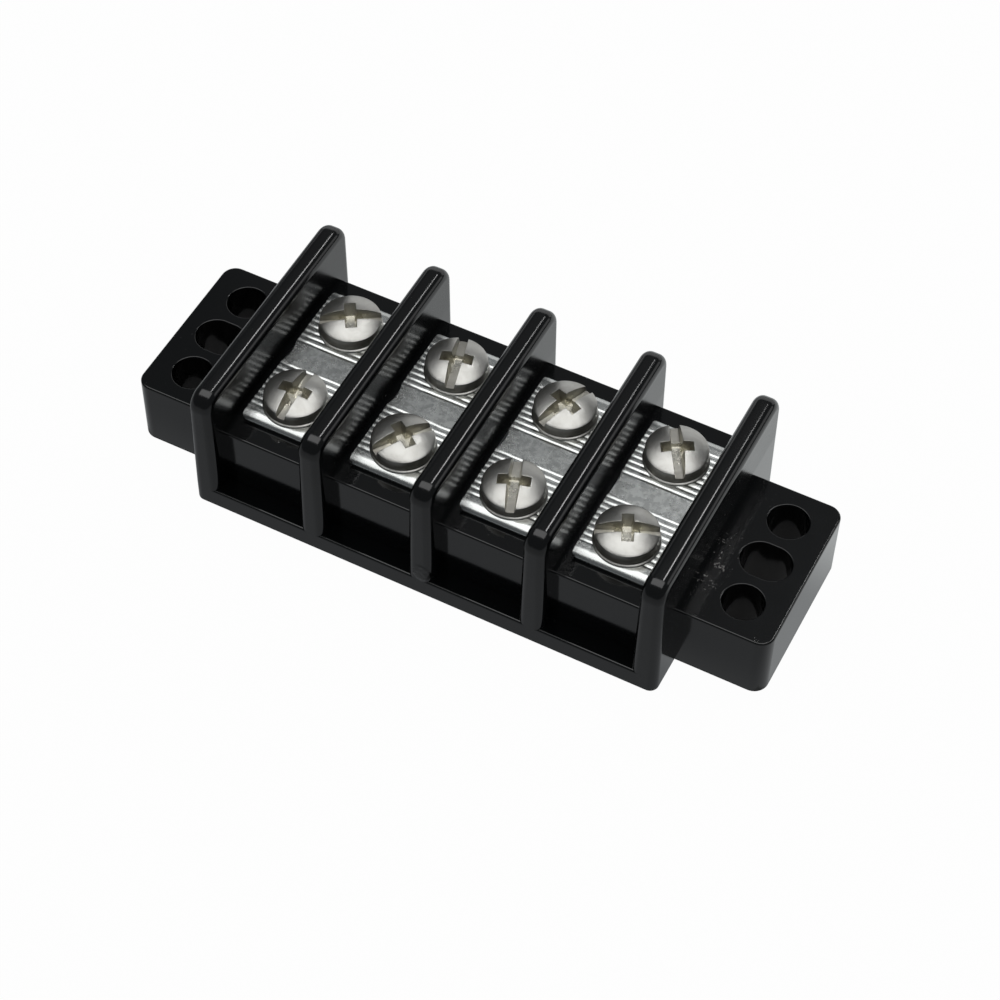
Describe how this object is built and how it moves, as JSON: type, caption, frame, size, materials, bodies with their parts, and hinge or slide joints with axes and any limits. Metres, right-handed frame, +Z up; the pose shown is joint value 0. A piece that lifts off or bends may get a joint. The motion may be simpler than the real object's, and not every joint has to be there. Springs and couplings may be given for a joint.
{
  "type": "barrier terminal strip",
  "caption": "Black moulded barrier terminal strip with plated terminal plates, combination binding screws and slotted mounting ears.",
  "frame": {"origin": "middle of the underside, midway between the mounting ears", "axes": "+X along the row of poles, +Y across the row to the back screws, +Z up out of the mounting face"},
  "size_m": [0.1006, 0.04, 0.0224],
  "materials": {
    "moulding": "glossy black phenolic moulding",
    "plate_metal": "bright tin plate over brass, with pressed ridges",
    "screw_metal": "nickel plate over steel, slightly yellowed"
  },
  "bodies": {
    "strip": {"block": "moulding", "terminal_1": "plate_metal", "terminal_2": "plate_metal", "terminal_3": "plate_metal", "terminal_4": "plate_metal"},
    "screw_1_front": {"screw_1_front": "screw_metal"},
    "screw_1_back": {"screw_1_back": "screw_metal"},
    "screw_2_front": {"screw_2_front": "screw_metal"},
    "screw_2_back": {"screw_2_back": "screw_metal"},
    "screw_3_front": {"screw_3_front": "screw_metal"},
    "screw_3_back": {"screw_3_back": "screw_metal"},
    "screw_4_front": {"screw_4_front": "screw_metal"},
    "screw_4_back": {"screw_4_back": "screw_metal"}
  },
  "joints": [
    {"name": "screw_1_front_lift", "type": "slide", "parent": "strip", "child": "screw_1_front", "axis": [0, 0, 1], "range_m": [0, 0.004]},
    {"name": "screw_1_back_lift", "type": "slide", "parent": "strip", "child": "screw_1_back", "axis": [0, 0, 1], "range_m": [0, 0.004]},
    {"name": "screw_2_front_lift", "type": "slide", "parent": "strip", "child": "screw_2_front", "axis": [0, 0, 1], "range_m": [0, 0.004]},
    {"name": "screw_2_back_lift", "type": "slide", "parent": "strip", "child": "screw_2_back", "axis": [0, 0, 1], "range_m": [0, 0.004]},
    {"name": "screw_3_front_lift", "type": "slide", "parent": "strip", "child": "screw_3_front", "axis": [0, 0, 1], "range_m": [0, 0.004]},
    {"name": "screw_3_back_lift", "type": "slide", "parent": "strip", "child": "screw_3_back", "axis": [0, 0, 1], "range_m": [0, 0.004]},
    {"name": "screw_4_front_lift", "type": "slide", "parent": "strip", "child": "screw_4_front", "axis": [0, 0, 1], "range_m": [0, 0.004]},
    {"name": "screw_4_back_lift", "type": "slide", "parent": "strip", "child": "screw_4_back", "axis": [0, 0, 1], "range_m": [0, 0.004]}
  ]
}
